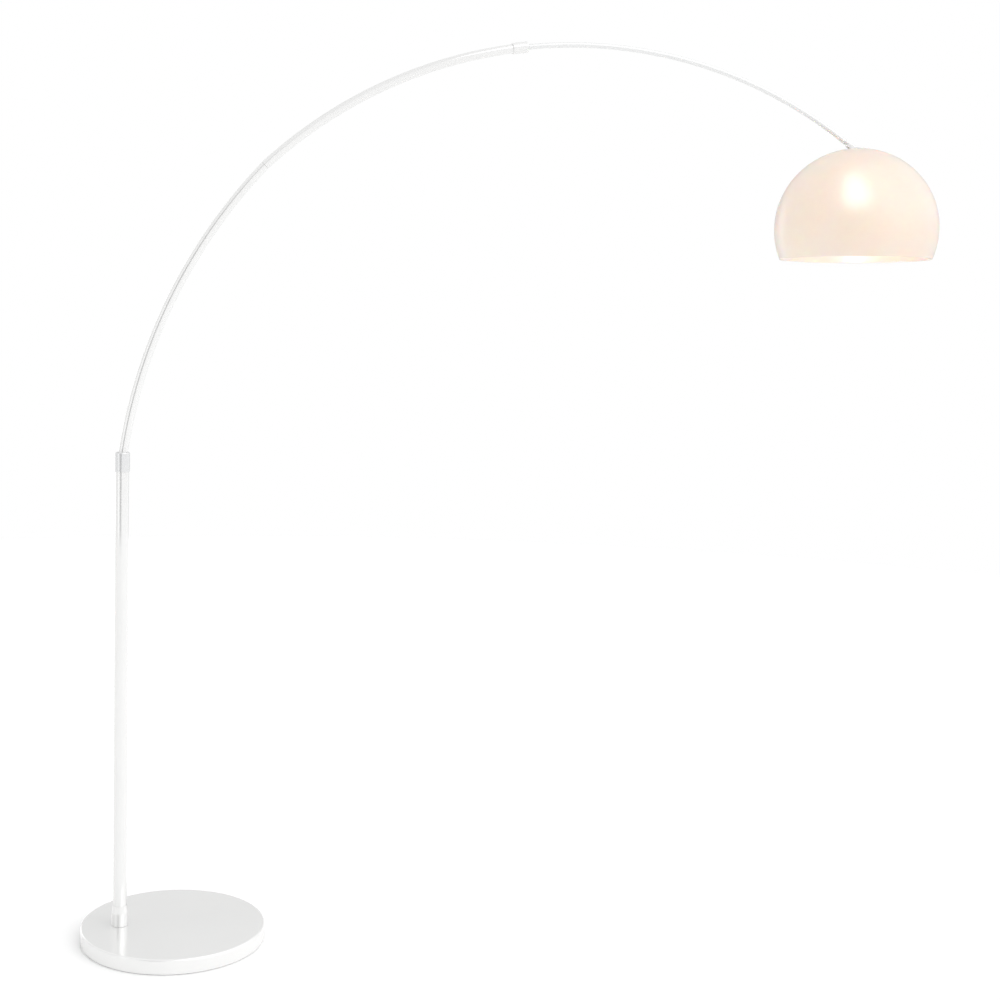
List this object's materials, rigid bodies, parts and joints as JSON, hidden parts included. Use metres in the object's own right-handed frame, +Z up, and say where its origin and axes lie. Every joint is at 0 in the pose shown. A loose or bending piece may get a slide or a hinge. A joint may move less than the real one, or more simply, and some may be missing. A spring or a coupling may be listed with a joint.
{
  "type": "arc floor lamp",
  "caption": "Arc floor lamp: weighted round base, offset pole, long bent telescopic arm and a domed translucent shade that hangs over the space beneath.",
  "frame": {"origin": "on the floor, under the middle of the round base", "axes": "+Z up, +X from the pole towards the shade, all of the arm's bends lie in the XZ plane"},
  "size_m": [1.9243, 0.4, 1.9828],
  "materials": {
    "white_lacquer": "semi-gloss white lacquer on steel",
    "collar_lacquer": "pale satin lacquer, slightly greyer than the tubes",
    "cast_iron": "rough cast",
    "felt": "matt felt",
    "steel": "zinc plated",
    "nylon": "natural nylon",
    "rubber": "matt pale rubber",
    "brass": "bright brass",
    "acrylic": "glossy translucent warm cream acrylic",
    "holder_plastic": "satin thermoplastic",
    "ceramic": "unglazed white ceramic",
    "bulb_glass": "frosted white glass",
    "wire": "smooth PVC sheath"
  },
  "bodies": {
    "base_and_pole": {"base_felt": "felt", "base_weight": "cast_iron", "base_cover": "white_lacquer", "cable_inlet": "rubber", "mains_wire": "wire", "foot_nipple": "steel", "foot_nut": "steel", "foot_washer": "steel", "pole_end_plug": "steel", "foot_sleeve": "white_lacquer", "pole_tube": "white_lacquer", "pole_top_guide": "nylon"},
    "swivel_collar": {"pole_collar": "collar_lacquer", "collar_set_screw": "steel"},
    "lower_arm": {"lower_arm_tube": "white_lacquer", "shank_guide": "nylon", "arm_joint_ferrule": "steel", "middle_arm_tube": "white_lacquer", "lower_arm_wire": "wire", "arm_collar": "white_lacquer", "arm_collar_bushing": "nylon", "arm_set_screw": "steel"},
    "upper_arm": {"upper_arm_tube": "white_lacquer", "inner_guide": "nylon", "upper_arm_wire": "wire", "tip_eye": "white_lacquer"},
    "shade_head": {"tilt_pin": "white_lacquer", "shade_cap": "white_lacquer", "head_nipple": "steel", "shade": "acrylic", "shade_washer": "rubber", "shade_lock_nut": "steel", "holder_cap": "holder_plastic", "holder_skirt": "holder_plastic", "socket_insert": "ceramic", "socket_shell": "brass", "socket_contact": "brass", "bulb_base": "steel", "bulb_glass": "bulb_glass"}
  },
  "joints": [
    {"name": "arm_swivel", "type": "hinge", "parent": "base_and_pole", "child": "swivel_collar", "pos_m": [-0.115, 0, 1.024], "axis": [0, 0, 1], "range_deg": [-90, 90]},
    {"name": "arm_height", "type": "slide", "parent": "swivel_collar", "child": "lower_arm", "axis": [0, 0, 1], "range_m": [0, 0.25]},
    {"name": "arm_extension", "type": "hinge", "parent": "lower_arm", "child": "upper_arm", "pos_m": [0.90297, 0, 0.93687], "axis": [0, -1, 0], "range_deg": [0, 20]},
    {"name": "shade_tilt", "type": "hinge", "parent": "upper_arm", "child": "shade_head", "pos_m": [1.52275, 0, 1.77201], "axis": [0, 1, 0], "range_deg": [-25, 25]}
  ]
}
